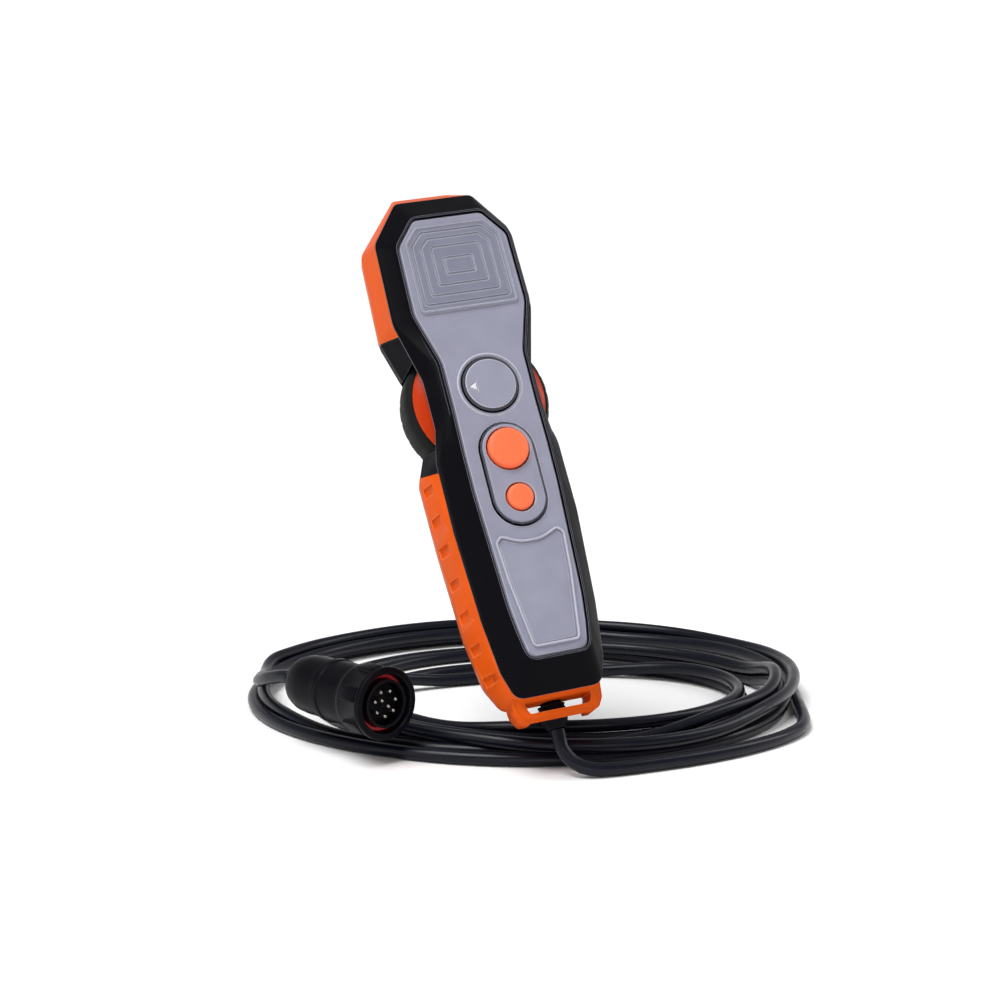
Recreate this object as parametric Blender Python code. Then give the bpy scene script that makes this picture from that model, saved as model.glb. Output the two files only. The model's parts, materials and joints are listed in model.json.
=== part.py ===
"""Pendant control station: a hand-held wired remote with a thumbwheel, two push buttons, a lanyard
loop, and a coiled cable that ends in a multi-pin circular connector.

The hand-held body is modelled in its own frame (x across, y along it towards the head, z out of the
face, origin on the dial's axis at the face) and stands tilted, under the empty "pendant_frame".
The cable and connector lie on the floor, z = 0. Lengths are in metres, written as millimetres * MM.
"""

from math import cos, pi, radians, sin, tan

import bmesh
import bpy
from mathutils import Euler, Matrix, Vector

MM = 0.001
GAP = 0.3 * MM

# Where the hand-held body stands: dial centre on the face, then its lean back, lean left and turn.
DIAL_CENTRE = (-9.9 * MM, 7.5 * MM, 160.5 * MM)
BODY_TILT = (radians(63.27), radians(-6.41), radians(19.01))

# Heights through the body, measured from the face.
LIP_TOP = 0.35 * MM
PLATE_THICKNESS = 2.0 * MM
DECK_TOP = -PLATE_THICKNESS - GAP
DECK_BOTTOM = -4.3 * MM
PARTING = -13.0 * MM
WIDEST = -30.0 * MM
BACK_EDGE = -38.0 * MM
BACK = -42.5 * MM
WALL = 2.4 * MM
GUARD_WALL = 2.6 * MM

# Corners of the body's outlines, right half, from the head down: x, y, z, corner radius in mm.
FACE = [(15.5, 79, 0, 4), (24.8, 67.3, 0, 6), (25.3, 35.5, 0, 14), (18.5, 13, 0, 18),
        (18.4, -10, 0, 40), (18.7, -28, 0, 40), (18.6, -46, 0, 60), (16.4, -96, 0, 60),
        (15, -108, 0, 20), (13, -119.2, 0, 5)]
CREASE = [(17.3, 92.3, -12.3, 4), (30.6, 74.5, -12.3, 8), (31.2, 37, -12.3, 10), (20.8, 15, -6, 10),
          (19.4, -9, -5, 7), (26.8, -25.5, -10, 9), (27.4, -58, -10.5, 60), (25, -98, -11, 60),
          (22.3, -120, -11.5, 16), (18.8, -132.3, -12, 6)]
RIM = [(17.6, 92.8, -13, 4), (31, 75, -13, 8), (31.8, 37, -13, 12), (23.5, 10, -13, 10),
       (23.2, -12, -13, 9), (27.8, -27, -13, 10), (27.8, -58, -13, 60), (25.6, -98, -13, 60),
       (23, -120.5, -13, 16), (19, -132.8, -13, 6)]
WAIST_OUT = [(18, 98.4, -30, 4), (33, 77.5, -30, 8), (34.2, 36, -30, 14), (25.6, 8, -30, 9),
             (25.6, -13, -30, 9), (32, -29, -30, 10), (31.4, -60, -30, 80), (29.4, -100, -30, 50),
             (26, -122, -30, 14), (19.6, -134, -30, 7)]


def mm(*pairs):
    """A profile of (radius, z) pairs, from millimetres."""
    return [(radius * MM, z * MM) for radius, z in pairs]


def corners(rows):
    """Outline corners in metres, as (Vector, radius)."""
    return [(Vector((x * MM, y * MM, z * MM)), r * MM) for x, y, z, r in rows]


def full(half):
    """Both halves of a symmetric outline, clockwise from the top right corner."""
    left = [(Vector((-p.x, p.y, p.z)), r) for p, r in reversed(half)]
    return half + left


def offset(outline, distance):
    """Moves an outline's sides outwards by distance, in its own plane."""
    count = len(outline)
    moved = []
    for i in range(count):
        before, here, after = (outline[(i + k) % count][0] for k in (-1, 0, 1))
        a = (here - before).xy.normalized()
        b = (after - here).xy.normalized()
        out_a = Vector((-a.y, a.x))
        out_b = Vector((-b.y, b.x))
        shift = (out_a + out_b) * distance / (1 + out_a.dot(out_b))
        radius = max(outline[i][1] + (distance if a.cross(b) < 0 else -distance), 0.4 * MM)
        moved.append((here + Vector((shift.x, shift.y, 0)), radius))
    return moved


def at_height(outline, z):
    return [(Vector((p.x, p.y, z)), r) for p, r in outline]


def between(low, high, share):
    """An outline part of the way from one to another."""
    return [(p.lerp(q, share), r + (s - r) * share) for (p, r), (q, s) in zip(low, high)]


def rounded(outline, steps=4):
    """The outline's points, each corner turned as an arc of its radius."""
    count = len(outline)
    points = []
    for i in range(count):
        before, here, after = (outline[(i + k) % count][0] for k in (-1, 0, 1))
        a = (before - here).normalized()
        b = (after - here).normalized()
        shortest = min((before - here).length, (after - here).length)
        reach = min(outline[i][1] / tan(a.angle(b) / 2), 0.45 * shortest)
        start = here + a * reach
        end = here + b * reach
        for k in range(steps + 1):
            t = k / steps
            points.append(start * (1 - t) ** 2 + here * 2 * t * (1 - t) + end * t ** 2)
    return points


class Builder:
    """Makes the objects of one collection, under one parent, with one colour each."""

    def __init__(self, parts, cutters):
        self.parts = parts
        self.cutters = cutters
        self.parent = None

    def add(self, name, mesh, material=None, at=(0, 0, 0), matrix=None):
        obj = bpy.data.objects.new(name, mesh)
        if material is None:
            self.cutters.objects.link(obj)
            obj.hide_render = True
            obj.display_type = "WIRE"
        else:
            self.parts.objects.link(obj)
            mesh.materials.clear()
            mesh.materials.append(material)
            mesh.shade_smooth()
            mesh.set_sharp_from_angle(angle=radians(35))
        obj.parent = self.parent
        obj.matrix_local = matrix if matrix is not None else Matrix.Translation(at)
        return obj


def material(name, color, roughness, metallic=0.0):
    """One Principled material from a colour as seen on screen, 0 to 255."""
    result = bpy.data.materials.new(name)
    result.use_nodes = True
    shader = result.node_tree.nodes["Principled BSDF"]
    linear = [((c / 255 + 0.055) / 1.055) ** 2.4 for c in color]
    shader.inputs["Base Color"].default_value = (*linear, 1)
    shader.inputs["Roughness"].default_value = roughness
    shader.inputs["Metallic"].default_value = metallic
    result.diffuse_color = (*linear, 1)
    return result


def finish_mesh(name, bm):
    bmesh.ops.recalc_face_normals(bm, faces=bm.faces)
    mesh = bpy.data.meshes.new(name)
    bm.to_mesh(mesh)
    bm.free()
    return mesh


def loft(name, rings):
    """A closed solid through rings of equal point counts, first and last ring capped."""
    bm = bmesh.new()
    loops = [[bm.verts.new(p) for p in ring] for ring in rings]
    count = len(loops[0])
    for low, high in zip(loops, loops[1:]):
        for i in range(count):
            j = (i + 1) % count
            bm.faces.new((low[i], low[j], high[j], high[i]))
    bm.faces.new(loops[0])
    bm.faces.new(loops[-1])
    bmesh.ops.triangulate(bm, faces=bm.faces, ngon_method="EAR_CLIP")
    return finish_mesh(name, bm)


def turned(name, profile, segments=48):
    """A solid of revolution about z, from (radius, z) pairs; radius 0 closes an end."""
    bm = bmesh.new()
    rings = []
    for radius, z in profile:
        if radius == 0:
            rings.append([bm.verts.new((0, 0, z))])
            continue
        angles = [2 * pi * k / segments for k in range(segments)]
        rings.append([bm.verts.new((radius * cos(a), radius * sin(a), z)) for a in angles])
    closed = profile[0][0] > 0 and profile[-1][0] > 0
    pairs = list(zip(rings, rings[1:])) + ([(rings[-1], rings[0])] if closed else [])
    for low, high in pairs:
        for i in range(segments):
            j = (i + 1) % segments
            corner_list = [low[i % len(low)], low[j % len(low)]]
            corner_list += [high[j % len(high)], high[i % len(high)]]
            bm.faces.new(list(dict.fromkeys(corner_list)))
    return finish_mesh(name, bm)


def cylinder(name, radius, low, high, segments=32):
    return turned(name, [(0, low), (radius, low), (radius, high), (0, high)], segments)


def box(name, low, high):
    bm = bmesh.new()
    bmesh.ops.create_cube(bm, size=1)
    size = Vector(high) - Vector(low)
    centre = (Vector(high) + Vector(low)) / 2
    for v in bm.verts:
        v.co = Vector((v.co.x * size.x, v.co.y * size.y, v.co.z * size.z)) + centre
    return finish_mesh(name, bm)


def stadium(radius, y_high, y_low, z, steps=9):
    """Points of a slot outline with round ends centred at y_high and y_low."""
    points = []
    for centre, start in ((y_high, 0), (y_low, pi)):
        for k in range(steps + 1):
            a = start + pi * k / steps
            points.append(Vector((radius * cos(a), centre + radius * sin(a), z)))
    return points


def combine(target, tool, operation="DIFFERENCE"):
    modifier = target.modifiers.new(tool.name, "BOOLEAN")
    modifier.operation = operation
    modifier.solver = "EXACT"
    modifier.object = tool
    weld = target.modifiers.new("weld", "WELD")
    weld.merge_threshold = 0.01 * MM


# Rear half's outlines at four heights; the guards follow the same skin.
FACE_LINE = full(corners(FACE))
CREASE_LINE = full(corners(CREASE))
RIM_LINE = full(corners(RIM))
SIDE_LINE = full(corners(WAIST_OUT))
EDGE_LINE = at_height(offset(SIDE_LINE, -1.6 * MM), BACK_EDGE)
BACK_LINE = at_height(offset(SIDE_LINE, -6.5 * MM), BACK)
SKIN = [(PARTING, RIM_LINE), (WIDEST, SIDE_LINE), (BACK_EDGE, EDGE_LINE), (BACK, BACK_LINE)]


def skin(z, grow=0.0):
    """The rear half's outline at height z, moved outwards by grow."""
    z_inside = min(max(z, BACK), PARTING)
    for (high, upper), (low, lower) in zip(SKIN, SKIN[1:]):
        if z_inside >= low:
            share = (high - z_inside) / (high - low)
            return at_height(offset(between(upper, lower, share), grow), z)
    return None


def skin_loft(name, levels):
    """A solid through (height, growth) levels of the rear half's outline."""
    return loft(name, [rounded(skin(z, grow)) for z, grow in levels])


def face_ring(z, grow):
    return rounded(at_height(offset(FACE_LINE, grow), z))


# Thumbwheel, dial and their pocket.
POCKET_RADIUS = 33.1 * MM
POCKET_TOP = -8.4 * MM
POCKET_FLOOR = -38.2 * MM
POCKET_WALL = 1.8 * MM
WHEEL_RADIUS = 29.4 * MM
TYRE_RADIUS = 32.4 * MM
TYRE_SEAT = 27.0 * MM
WHEEL_FRONT = -18.4 * MM
WHEEL_BACK = -37.0 * MM
DOME = 8.2 * MM
SHAFT_RADIUS = 3.0 * MM
SHAFT_END = -37.8 * MM
SENSOR_BASE = -40.0 * MM
DIAL_RADIUS = 12.2 * MM
DIAL_HOLE = 12.7 * MM
DIAL_TOP = 1.1 * MM

# Push buttons and the island they stand in.
LARGE_Y = -29.6 * MM
SMALL_Y = -51.2 * MM
LARGE_RADIUS = 8.9 * MM
SMALL_RADIUS = 5.8 * MM
ISLAND_RADIUS = 11.9 * MM
ISLAND_TOP = 1.2 * MM
ISLAND_FLOOR = 0.3 * MM
ISLAND_CEILING = -1.4 * MM
BUTTON_BASE = -3.1 * MM
KEY_BOARD_TOP = -6.4 * MM

# Lanyard loop, cable gland and grip.
GUARD_TOP = PARTING - GAP
GUARD_BOTTOM = -38.5 * MM
GRIP_START = -30.4 * MM
HEAD_GUARD_END = 31.0 * MM
GUARD_SLANT = radians(13)
GLAND_Z = -28.5 * MM
GLAND_END = -145.4 * MM
SCREWS = [(s * x * MM, y * MM) for x, y in ((22.2, 62), (18.7, -47), (14.6, -112)) for s in (1, -1)]
BOARD_SCREW_Y = -66 * MM

# Cable, coil and connector, on the floor.
CORD_DIAMETER = 6.0 * MM
COIL_CENTRE = (0, 107 * MM)
COIL_INNER = 80 * MM
COIL_OUTER = 133 * MM
COIL_HEIGHT = 10.4 * MM
PLUG_AT = (-53.6 * MM, -14.8 * MM, 27 * MM)
PLUG_AXIS = Vector((0.655, -0.755, 0.015)).normalized()
PINS = 9
LUGS = 6
LUG_START = radians(20)
BOOT_END = 68 * MM

# Middle points, in mm, of the cable's two free ends: gland to coil, and connector to coil.
LEAD_ROUTE = [(20.6, -29.2, 10.6), (25.5, -32.2, 6.0), (33, -33, 3.6), (44.6, -29.5, 3.05),
              (62, -21.5, 3.05), (80, -11.6, 3.05), (105, 4, 3.05), (127, 24, 3.05), (138, 48, 3.05),
              (141.5, 72, 3.05), (140, 86, 3.05), (137, 98, 3.05)]
TAIL_ROUTE = [(-104.5, 43.9, 25.0), (-111, 53, 22.2), (-115.5, 64, 18.6), (-117, 77, 15.4),
              (-116, 90, 13.9), (-113, 104, 13.8)]


def front_shell(b, black):
    shell = b.add("front_shell", loft("front_shell", [
        face_ring(LIP_TOP, 1.5 * MM),
        face_ring(-0.9 * MM, 2.3 * MM),
        rounded(CREASE_LINE),
        rounded(RIM_LINE),
    ]), black)
    cavity = b.add("front_cavity", loft("front_cavity", [
        face_ring(DECK_BOTTOM, -0.4 * MM),
        rounded(at_height(offset(RIM_LINE, -WALL), PARTING - 1 * MM)),
    ]))
    core = cylinder("core", POCKET_RADIUS + POCKET_WALL, -40 * MM, -1 * MM, 48)
    core = b.add("front_pocket_core", core)
    combine(cavity, core)
    combine(shell, cavity)
    for i, (x, y) in enumerate(SCREWS):
        boss = cylinder("boss", 3.6 * MM, -16.9 * MM, -3.5 * MM, 20)
        boss = b.add(f"front_boss_{i}", boss, at=(x, y, 0))
        combine(shell, boss, "UNION")
        bore = b.add(f"front_bore_{i}", cylinder("bore", 1.6 * MM, -20 * MM, -6 * MM, 16), at=(x, y, 0))
        combine(shell, bore)
    recess = b.add("plate_recess", loft("recess", [face_ring(z, GAP) for z in (3 * MM, DECK_TOP)]))
    combine(shell, recess)
    combine(shell, wheel_pocket(b, "front_pocket"))
    combine(shell, b.add("dial_boss_hole", cylinder("hole", 6.0 * MM, -10 * MM, 1 * MM)))
    slot = loft("slot", [stadium(ISLAND_RADIUS + GAP, LARGE_Y, SMALL_Y, z) for z in (-12 * MM, 2 * MM)])
    combine(shell, b.add("island_slot", slot))
    bed = box("bed", (-12.9 * MM, -62.6 * MM, -9 * MM), (12.9 * MM, -17.4 * MM, -3.9 * MM))
    combine(shell, b.add("key_board_bed", bed))
    return shell


def wheel_pocket(b, name):
    """Cutter for the wheel's room; its roof follows the wheel's dome."""
    roof = [(POCKET_RADIUS, POCKET_TOP - 4.8 * MM), (20 * MM, POCKET_TOP - 3 * MM),
            (12 * MM, POCKET_TOP - 0.6 * MM), (0, POCKET_TOP)]
    profile = [(0, POCKET_FLOOR), (POCKET_RADIUS, POCKET_FLOOR)] + roof
    return b.add(name, turned(name, profile, 48))


def end_block(low_y, high_y):
    """A slanted block that trims a guard, and its place; its y limits hold at the parting line."""
    block = box("trim", (-60 * MM, low_y, -60 * MM), (60 * MM, high_y, 30 * MM))
    slant = Matrix.Rotation(GUARD_SLANT, 4, "X")
    return block, None, (0, 0, 0), Matrix.Translation((0, 0, PARTING)) @ slant


def guard_zone(b, name, low_y, high_y):
    """Cutter for the band that a guard fills, with its clearance."""
    outer = skin_loft(name, [(PARTING + 3 * MM, 4 * MM), (GUARD_BOTTOM - GAP, 4 * MM)])
    zone = b.add(name, outer)
    inner = skin_loft(name + "_core", [
        (PARTING + 5 * MM, -GUARD_WALL - GAP),
        (PARTING, -GUARD_WALL - GAP),
        (WIDEST, -GUARD_WALL - GAP),
        (BACK_EDGE, -GUARD_WALL - GAP),
        (GUARD_BOTTOM - 3 * MM, -GUARD_WALL - GAP),
    ])
    combine(zone, b.add(name + "_core", inner))
    combine(zone, b.add(name + "_trim", *end_block(low_y, high_y)))
    return zone


def rear_shell(b, black):
    shell = b.add("rear_shell", skin_loft("rear_shell", [
        (PARTING - GAP, 0), (WIDEST, 0), (BACK_EDGE, 0), (BACK, 0)]), black)
    inset = WALL + GUARD_WALL
    cavity = b.add("rear_cavity", skin_loft("rear_cavity", [
        (PARTING + 1 * MM, -inset), (WIDEST, -inset), (BACK + WALL, -inset - 0.4 * MM)]))
    core = cylinder("core", POCKET_RADIUS + POCKET_WALL, -50 * MM, 1 * MM, 48)
    core = b.add("rear_pocket_core", core)
    combine(cavity, core)
    combine(shell, cavity)
    seat = box("seat", (-8 * MM, -129.4 * MM, -34.6 * MM), (8 * MM, -125 * MM, -21 * MM))
    combine(shell, b.add("gland_seat", seat), "UNION")
    combine(shell, guard_zone(b, "head_zone", -200 * MM, HEAD_GUARD_END - GAP))
    combine(shell, guard_zone(b, "grip_zone", GRIP_START + GAP, 200 * MM))
    for i, (x, y) in enumerate(SCREWS):
        boss = cylinder("boss", 4.0 * MM, BACK + 1 * MM, -17.2 * MM, 20)
        boss = b.add(f"rear_boss_{i}", boss, at=(x, y, 0))
        combine(shell, boss, "UNION")
        bore = turned("bore", [(0, -45 * MM), (3.1 * MM, -45 * MM), (3.1 * MM, BACK + 3 * MM),
                               (1.6 * MM, BACK + 3 * MM), (1.6 * MM, -10 * MM), (0, -10 * MM)], 20)
        combine(shell, b.add(f"rear_bore_{i}", bore, at=(x, y, 0)))
    for x in (-11 * MM, 11 * MM):
        post = cylinder("post", 3.0 * MM, BACK + 1 * MM, -21.9 * MM, 16)
        post = b.add(f"board_post_{x:.3f}", post, at=(x, BOARD_SCREW_Y, 0))
        combine(shell, post, "UNION")
        bore = cylinder("bore", 1.4 * MM, -29 * MM, -20 * MM, 12)
        bore = b.add(f"post_bore_{x:.3f}", bore, at=(x, BOARD_SCREW_Y, 0))
        combine(shell, bore)
    combine(shell, wheel_pocket(b, "rear_pocket"))
    combine(shell, b.add("sensor_seat", cylinder("seat", 9.3 * MM, SENSOR_BASE - GAP, -30 * MM, 40)))
    combine(shell, gland_hole(b, "shell_gland_hole"))
    return shell


def along_body(y, z):
    """Turns a piece made about z so that its axis runs down the body, out of the foot."""
    return Matrix.Translation((0, y, z)) @ Matrix.Rotation(radians(90), 4, "X")


def gland_hole(b, name):
    hole = cylinder(name, 4.8 * MM, -20 * MM, 20 * MM, 32)
    return b.add(name, hole, matrix=along_body(-131 * MM, GLAND_Z))


def guard_levels(reach):
    """(height, growth) levels of a guard's outer face; its front edge is bevelled by reach."""
    return [(GUARD_TOP, -0.3 * MM), (GUARD_TOP - reach, 0.15 * MM), (WIDEST, 0.15 * MM),
            (BACK_EDGE - 0.1 * MM, 0.3 * MM), (GUARD_BOTTOM, 0)]


def guard_core(b, name):
    inner = skin_loft(name, [
        (PARTING + 5 * MM, -GUARD_WALL), (PARTING, -GUARD_WALL), (WIDEST, -GUARD_WALL),
        (BACK_EDGE, -GUARD_WALL), (GUARD_BOTTOM - 3 * MM, -GUARD_WALL)])
    return b.add(name, inner)


def head_guard(b, orange):
    guard = b.add("head_guard", skin_loft("head_guard", guard_levels(0.8 * MM)), orange)
    combine(guard, guard_core(b, "head_guard_core"))
    combine(guard, b.add("head_guard_trim", *end_block(-200 * MM, HEAD_GUARD_END)))
    return guard


def grip_frame(b, orange):
    grip = b.add("grip_frame", skin_loft("grip_frame", guard_levels(0.8 * MM)), orange)
    bar = [(20.0, -127, 0, 1), (19.0, -137.5, 0, 3.5), (16.4, -142, 0, 3)]
    bar_line = full(corners(bar))
    block = loft("loop_block", [rounded(at_height(bar_line, z * MM)) for z in (-16.6, -30.0)])
    combine(grip, b.add("loop_block", block), "UNION")
    combine(grip, guard_core(b, "grip_core"))
    window = full(corners([(15.2, -133.9, 0, 1.2), (13.4, -138.9, 0, 1.6)]))
    opening = loft("loop_window", [rounded(at_height(window, z * MM)) for z in (-14, -34)])
    combine(grip, b.add("loop_window", opening))
    notch = box("notch", (-12.6 * MM, -144 * MM, -32 * MM), (12.6 * MM, -134.6 * MM, -22.2 * MM))
    combine(grip, b.add("loop_notch", notch))
    combine(grip, b.add("grip_trim", *end_block(GRIP_START, 200 * MM)))
    combine(grip, gland_hole(b, "grip_gland_hole"))
    return grip


def face_plate(b, grey):
    plate = b.add("face_plate", loft("face_plate", [
        face_ring(-PLATE_THICKNESS, 0),
        face_ring(-0.4 * MM, 0),
        face_ring(0, -0.4 * MM),
    ]), grey)
    combine(plate, b.add("dial_hole", cylinder("hole", DIAL_HOLE, -5 * MM, 5 * MM, 40)))
    slot = loft("slot", [stadium(ISLAND_RADIUS + GAP, LARGE_Y, SMALL_Y, z) for z in (-5 * MM, 5 * MM)])
    combine(plate, b.add("plate_island_slot", slot))
    return plate


def panel(b, name, half, levels, grey):
    """A raised panel on the face plate; levels are (height, growth)."""
    line = full(corners(half))
    rings = [rounded(at_height(offset(line, grow), z)) for z, grow in levels]
    return b.add(name, loft(name, rings), grey)


def head_pad(b, grey):
    half = [(15.6, 75, 0, 3), (21.8, 67.8, 0, 3), (22.1, 35.4, 0, 2.4)]
    raised = [(GAP, 0), (1.0 * MM, 0), (1.5 * MM, -0.6 * MM)]
    return panel(b, "head_pad", half, raised, grey)


def badge_plate(b, grey):
    half = [(6, -68.6, 0, 8), (12.6, -65.6, 0, 2.2), (15.4, -68.6, 0, 3), (14.2, -86, 0, 40),
            (10.4, -114.4, 0, 2.5)]
    raised = [(GAP, 0), (0.8 * MM, 0), (1.2 * MM, -0.5 * MM)]
    return panel(b, "badge_plate", half, raised, grey)


def dial(b, black, grey, white):
    knob = [(0, -2.5 * MM), (SHAFT_RADIUS + GAP, -2.5 * MM), (SHAFT_RADIUS + GAP, -5 * MM)]
    knob += mm((5.5, -5), (5.5, -1.9))
    knob += [(DIAL_RADIUS, -1.9 * MM), (DIAL_RADIUS, DIAL_TOP - 0.3 * MM)]
    knob += [(DIAL_RADIUS - 0.3 * MM, DIAL_TOP), (11.4 * MM, DIAL_TOP)]
    knob += mm((11.4, 0.5), (0, 0.5))
    b.add("dial_knob", turned("dial_knob", knob, 40), black)
    disc = mm((0, 0.8), (11.1, 0.8), (11.1, 1.3), (10.9, 1.5), (0, 1.5))
    cap = b.add("dial_cap", turned("dial_cap", disc, 40), grey)
    combine(cap, b.add("pointer_slot", pointer_prism("slot", 0.3 * MM, 0, 3 * MM)))
    b.add("dial_pointer", pointer_prism("dial_pointer", 0, 0.8 * MM, 1.6 * MM), white)


def pointer_prism(name, grow, low, high):
    """A small triangle that points outwards along -x."""
    centre = Vector((-7.6 * MM, -0.2 * MM, 0))
    radius = 2.0 * MM + 2 * grow
    spots = [centre + Vector((radius * cos(a), radius * sin(a), 0)) for a in (pi, pi / 3, -pi / 3)]
    return loft(name, [[p + Vector((0, 0, z)) for p in spots] for z in (low, high)])


def thumbwheel(b, orange, rubber, steel):
    dome = [(r * MM, WHEEL_FRONT + DOME * (1 - (r / 28.8) ** 2)) for r in (28.8, 26, 22, 16, 9, 3.3)]
    seat_top = WHEEL_FRONT - 1.4 * MM
    hub = turned("wheel_hub", [
        (3.3 * MM, -30 * MM), (6.5 * MM, -30 * MM), (6.5 * MM, -23 * MM), (25 * MM, -23 * MM),
        (25 * MM, WHEEL_BACK), (TYRE_SEAT, WHEEL_BACK), (TYRE_SEAT, seat_top), (WHEEL_RADIUS, seat_top),
        (WHEEL_RADIUS, WHEEL_FRONT - 0.5 * MM)] + dome, 48)
    b.add("wheel_hub", hub, orange)
    seat = TYRE_SEAT + GAP
    tyre_top = seat_top - GAP
    tyre = turned("wheel_tyre", [
        (seat, WHEEL_BACK), (seat, tyre_top), (30.4 * MM, tyre_top), (31.8 * MM, tyre_top - 1.6 * MM),
        (TYRE_RADIUS, -28 * MM), (31.8 * MM, WHEEL_BACK + 1.6 * MM), (30.4 * MM, WHEEL_BACK)], 48)
    b.add("wheel_tyre", tyre, rubber)
    b.add("wheel_shaft", cylinder("wheel_shaft", SHAFT_RADIUS, SHAFT_END, -2.8 * MM), steel)


def dial_sensor(b, dark):
    clear = SHAFT_RADIUS + GAP
    sensor = turned("dial_sensor", [
        (0, SENSOR_BASE), (9 * MM, SENSOR_BASE), (9 * MM, -31.5 * MM), (clear, -31.5 * MM),
        (clear, SHAFT_END - GAP), (0, SHAFT_END - GAP)], 40)
    b.add("dial_sensor", sensor, dark)


def key_island(b, black, grey):
    tub = b.add("key_bezel", loft("key_bezel", [
        stadium(ISLAND_RADIUS, LARGE_Y, SMALL_Y, -3.6 * MM),
        stadium(ISLAND_RADIUS, LARGE_Y, SMALL_Y, ISLAND_TOP - 0.3 * MM),
        stadium(ISLAND_RADIUS - 0.3 * MM, LARGE_Y, SMALL_Y, ISLAND_TOP),
    ]), black)
    well = loft("well", [stadium(11.3 * MM, LARGE_Y, SMALL_Y, z) for z in (ISLAND_FLOOR, 4 * MM)])
    combine(tub, b.add("island_well", well))
    under = loft("under", [stadium(10.9 * MM, LARGE_Y, SMALL_Y, z) for z in (-5 * MM, ISLAND_CEILING)])
    combine(tub, b.add("island_under", under))
    cover = b.add("key_plate", loft("key_plate", [
        stadium(11.0 * MM, LARGE_Y, SMALL_Y, ISLAND_FLOOR + GAP),
        stadium(11.0 * MM, LARGE_Y, SMALL_Y, 1.3 * MM),
        stadium(10.8 * MM, LARGE_Y, SMALL_Y, 1.5 * MM),
    ]), grey)
    for label, y, radius in (("large", LARGE_Y, LARGE_RADIUS), ("small", SMALL_Y, SMALL_RADIUS)):
        hole = cylinder("hole", radius + 0.35 * MM, -6 * MM, 6 * MM, 32)
        for target, owner in ((tub, "tub"), (cover, "cover")):
            combine(target, b.add(f"{label}_{owner}_hole", hole.copy(), at=(0, y, 0)))


def push_button(b, name, y, radius, flange, top, orange):
    crown = [(radius, top - 2.2 * MM), (radius - 0.25 * MM, top - 1.0 * MM)]
    crown += [(radius - 0.7 * MM, top - 0.35 * MM), (radius - 1.5 * MM, top - 0.05 * MM)]
    crown += [(radius * 0.5, top), (0, top)]
    profile = [(0, BUTTON_BASE), (flange, BUTTON_BASE), (flange, ISLAND_CEILING - 0.35 * MM),
               (radius, ISLAND_CEILING - 0.35 * MM)] + crown
    b.add(name, turned(name, profile, 32), orange, at=(0, y, 0))


def key_switch(b, name, y, dark):
    half = 3 * MM
    low = KEY_BOARD_TOP + GAP
    body = b.add(name, box(name, (-half, -half, low), (half, half, -5.0 * MM)), dark, at=(0, y, 0))
    plunger = cylinder("plunger", 1.7 * MM, -5.5 * MM, -4.7 * MM, 20)
    combine(body, b.add(name + "_plunger", plunger, at=(0, y, 0)), "UNION")


def boards(b, board_green, dark, steel):
    key = box("key_board", (-12.6 * MM, -62.2 * MM, -7.5 * MM), (12.6 * MM, -17.8 * MM, KEY_BOARD_TOP))
    b.add("key_board", key, board_green)
    main = box("main_board", (-14.5 * MM, -104 * MM, -21.6 * MM), (14.5 * MM, -58 * MM, -20 * MM))
    main = b.add("main_board", main, board_green)
    screw = mm((0, -28), (1.1, -28), (1.1, -19.7), (2.4, -19.7), (2.4, -18.4), (0, -18.2))
    for n, x in ((1, -11 * MM), (2, 11 * MM)):
        place = (x, BOARD_SCREW_Y, 0)
        hole = cylinder("hole", 1.4 * MM, -25 * MM, -18 * MM, 16)
        combine(main, b.add(f"board_hole_{n}", hole, at=place))
        b.add(f"board_screw_{n}", turned("board_screw", screw, 20), steel, at=place)
    block = box("cable_terminal", (-8 * MM, -102 * MM, -19.7 * MM), (8 * MM, -93 * MM, -12.5 * MM))
    b.add("cable_terminal", block, dark)


def housing_screws(b, steel):
    head = BACK + 2.7 * MM
    profile = [(0, BACK + GAP), (2.8 * MM, BACK + GAP), (2.8 * MM, head), (1.25 * MM, head)]
    profile += mm((1.25, -8), (0, -7))
    for i, (x, y) in enumerate(SCREWS):
        b.add(f"housing_screw_{i + 1}", turned("housing_screw", profile, 20), steel, at=(x, y, 0))


def gland(b, black):
    """Pieces turned about z, then laid along the body; z = 0 of each is the gland's outer end."""
    at = along_body(GLAND_END, GLAND_Z)
    bore = CORD_DIAMETER / 2 + GAP
    body = [(bore, -24 * MM)] + mm((4.4, -24), (4.4, -2.4)) + [(bore, -2.4 * MM)]
    b.add("gland_body", turned("gland_body", body, 32), black, matrix=at)
    nut = [(bore, -2.1 * MM)] + mm((4.7, -2.1), (4.7, -10.2), (5.9, -10.2), (5.9, -0.5), (5.4, 0))
    b.add("gland_nut", turned("gland_nut", nut + [(bore, 0)], 32), black, matrix=at)
    locknut = mm((4.7, -23.5), (5.6, -23.5), (5.6, -20.8), (4.7, -20.8))
    b.add("gland_locknut", turned("gland_locknut", locknut, 24), black, matrix=at)


def plug_matrix():
    """The connector's own frame: z along its axis, out of its mating face."""
    turn = Vector((0, 0, 1)).rotation_difference(PLUG_AXIS).to_matrix().to_4x4()
    return Matrix.Translation(PLUG_AT) @ turn


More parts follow.
